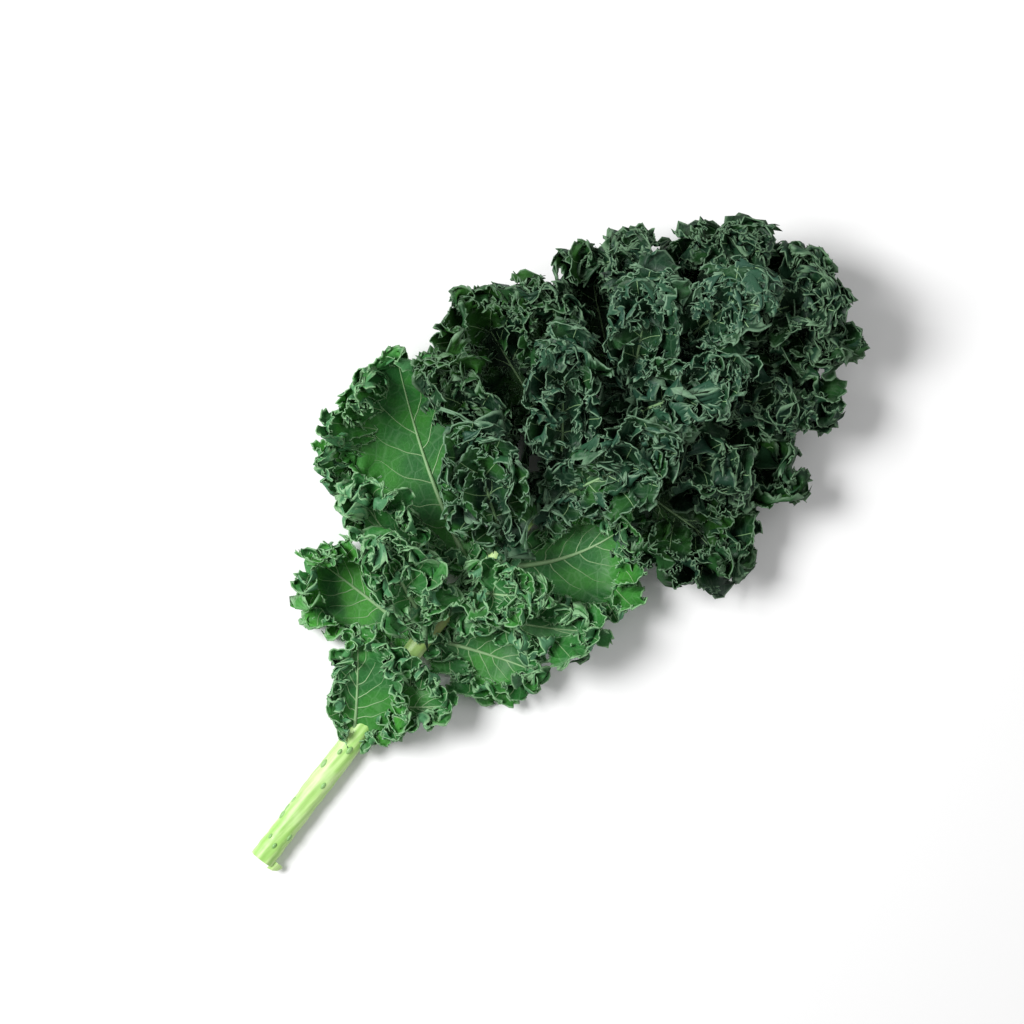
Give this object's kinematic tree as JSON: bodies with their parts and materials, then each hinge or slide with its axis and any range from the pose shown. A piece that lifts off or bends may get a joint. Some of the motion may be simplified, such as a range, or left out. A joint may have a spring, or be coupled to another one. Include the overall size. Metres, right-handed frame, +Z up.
{
  "type": "curly kale leaf",
  "caption": "Cut leaf of curly kale: a pale fleshy stalk and midrib with crisped leaflets along both sides and on its upper face, lying on its back.",
  "frame": {"origin": "on the surface the leaf lies on, under the middle of its outline", "axes": "+X runs along the leaf from the stalk's cut end to the leaf's tip, +Z is up, away from the surface"},
  "size_m": [0.4158, 0.2063, 0.0711],
  "materials": {
    "stalk": "pale yellow-green fleshy stem, slightly glossy, with faint lengthwise ribs",
    "lower_blade": "matt mid-green leaf blade with a pale crisped edge and pale veins",
    "upper_blade": "matt dark bluish green leaf blade with a pale crisped edge",
    "inner_blade": "matt dark green leaf blade with a pale crisped edge"
  },
  "bodies": {
    "root": {"stalk": "stalk", "basal_left": "lower_blade", "left_1": "lower_blade", "left_2": "lower_blade", "basal_right": "lower_blade", "right_1": "lower_blade", "right_2": "lower_blade", "mid_left_1": "lower_blade", "mid_right_1": "lower_blade", "left_3": "upper_blade", "left_4": "upper_blade", "left_5": "upper_blade", "right_3": "upper_blade", "right_4": "upper_blade", "right_5": "upper_blade", "right_6": "upper_blade", "mid_left_2": "upper_blade", "mid_left_3": "upper_blade", "mid_left_4": "upper_blade", "mid_right_2": "upper_blade", "mid_right_3": "upper_blade", "mid_tip_left": "upper_blade", "mid_tip_right": "upper_blade", "terminal": "upper_blade", "inner_1": "lower_blade", "inner_2": "lower_blade", "inner_3": "inner_blade", "inner_4": "inner_blade", "inner_5": "inner_blade", "inner_6": "inner_blade", "inner_7": "inner_blade", "inner_8": "inner_blade"}
  },
  "joints": []
}
